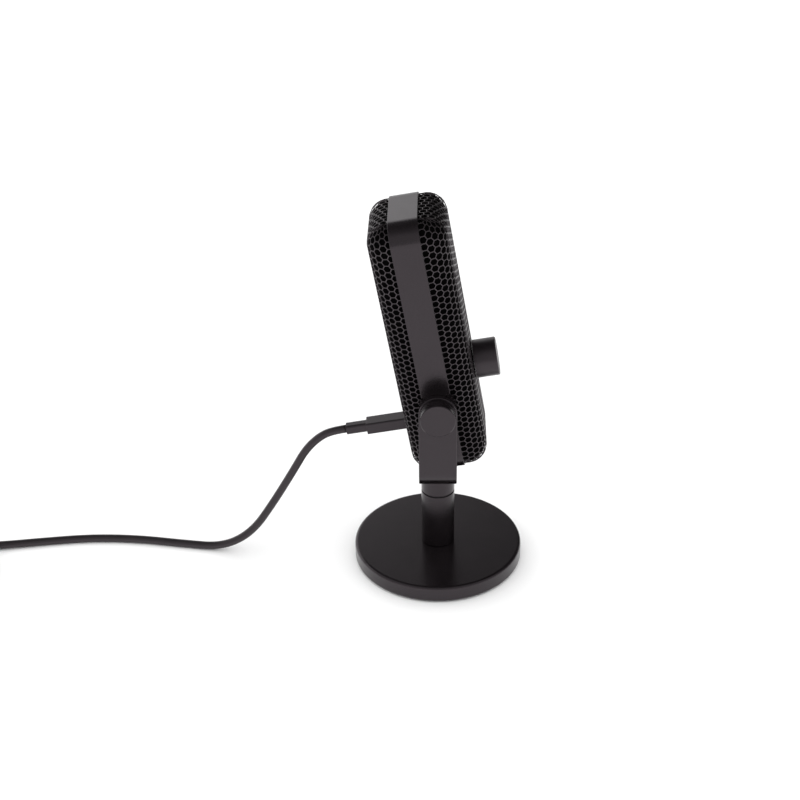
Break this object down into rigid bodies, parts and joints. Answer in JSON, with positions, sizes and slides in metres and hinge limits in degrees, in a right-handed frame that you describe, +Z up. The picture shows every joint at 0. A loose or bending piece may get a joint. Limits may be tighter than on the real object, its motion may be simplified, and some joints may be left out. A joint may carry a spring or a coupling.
{
  "type": "desktop microphone",
  "caption": "Side-address desktop microphone with a perforated tilting head in a U yoke, short stem, round weighted base and a USB cord.",
  "frame": {"origin": "centre of the base's underside, on the surface that it stands on", "axes": "+Z up along the stem, the front with the knob faces -Y, the tilt axis is parallel to X"},
  "size_m": [0.1788, 0.3834, 0.228],
  "materials": {
    "coated_metal": "satin powder coat, near black",
    "grille_metal": "satin coat on perforated sheet",
    "foam": "open-cell foam, black",
    "knob": "satin soft-touch black",
    "soft_rubber": "matt black rubber",
    "plain_steel": "zinc plated",
    "nylon": "matt black nylon",
    "board": "green solder mask",
    "board_parts": "matt black packages",
    "capsule_brass": "turned brass",
    "gold_film": "thin gold-coated film",
    "plug_metal": "nickel plated",
    "plug_plastic": "satin moulded",
    "cord_jacket": "satin moulded jacket",
    "tie_strap": "woven hook-and-loop strap"
  },
  "bodies": {
    "stand": {"base_disc": "coated_metal", "foot_pad": "soft_rubber", "base_screw": "plain_steel", "lower_stem": "coated_metal", "swivel_stud": "plain_steel", "swivel_washer": "nylon"},
    "yoke": {"stem_collar": "coated_metal", "yoke_bracket": "coated_metal", "yoke_screw": "plain_steel", "usb_cord": "cord_jacket", "cord_coil": "cord_jacket", "cord_tail": "cord_jacket", "cord_tie": "tie_strap", "host_strain_relief": "plug_plastic", "host_plug_overmould": "plug_plastic", "host_plug_shell": "plug_metal"},
    "left_clamp": {"left_clamp_cap": "coated_metal", "left_clamp_bolt": "plain_steel"},
    "right_clamp": {"right_clamp_cap": "coated_metal", "right_clamp_bolt": "plain_steel"},
    "encoder_rotor": {"encoder_rotor": "nylon"},
    "gain_knob": {"encoder_shaft": "plain_steel", "gain_knob": "knob", "knob_end_plate": "knob", "knob_set_screw": "plain_steel"},
    "head": {"board_parts": "board_parts", "board_screws": "plain_steel", "board_spacers": "nylon", "capsule_bracket": "nylon", "capsule_cradle": "soft_rubber", "capsule_housing": "capsule_brass", "chassis_lugs": "plain_steel", "chassis_plate": "plain_steel", "chassis_screws": "plain_steel", "encoder_body": "board_parts", "encoder_bracket": "plain_steel", "encoder_nut": "plain_steel", "frame_band": "coated_metal", "front_diaphragm": "gold_film", "front_foam": "foam", "front_grille": "grille_metal", "left_friction_washer": "nylon", "left_pivot_boss": "coated_metal", "left_pivot_nut": "plain_steel", "main_board": "board", "port_bezel": "nylon", "rear_diaphragm": "gold_film", "rear_foam": "foam", "rear_grille": "grille_metal", "right_friction_washer": "nylon", "right_pivot_boss": "coated_metal", "right_pivot_nut": "plain_steel", "usb_plug_overmould": "plug_plastic", "usb_plug_shell": "plug_metal", "usb_receptacle": "plug_metal", "usb_strain_relief": "plug_plastic"}
  },
  "joints": [
    {"name": "yoke_swivel", "type": "hinge", "parent": "stand", "child": "yoke", "pos_m": [0, 0, 0.0465], "axis": [0, 0, 1], "range_deg": [-90, 90]},
    {"name": "head_tilt", "type": "hinge", "parent": "yoke", "child": "head", "pos_m": [0, 0, 0.1194], "axis": [1, 0, 0], "range_deg": [-20, 45], "deforming": ["usb_cord"]},
    {"name": "left_clamp_turn", "type": "hinge", "parent": "yoke", "child": "left_clamp", "pos_m": [-0.04, 0, 0.1194], "axis": [1, 0, 0], "range_deg": [-180, 0]},
    {"name": "right_clamp_turn", "type": "hinge", "parent": "yoke", "child": "right_clamp", "pos_m": [0.04, 0, 0.1194], "axis": [1, 0, 0], "range_deg": [0, 180]},
    {"name": "gain_turn", "type": "hinge", "parent": "head", "child": "encoder_rotor", "pos_m": [0, -0.01778, 0.13387], "axis": [0, -0.9851, 0.1719], "continuous": true},
    {"name": "gain_press", "type": "slide", "parent": "encoder_rotor", "child": "gain_knob", "axis": [0, 0.9851, -0.1719], "range_m": [0, 0.0005], "stiffness_N_per_m": 2000, "springref_m": -0.0005}
  ]
}
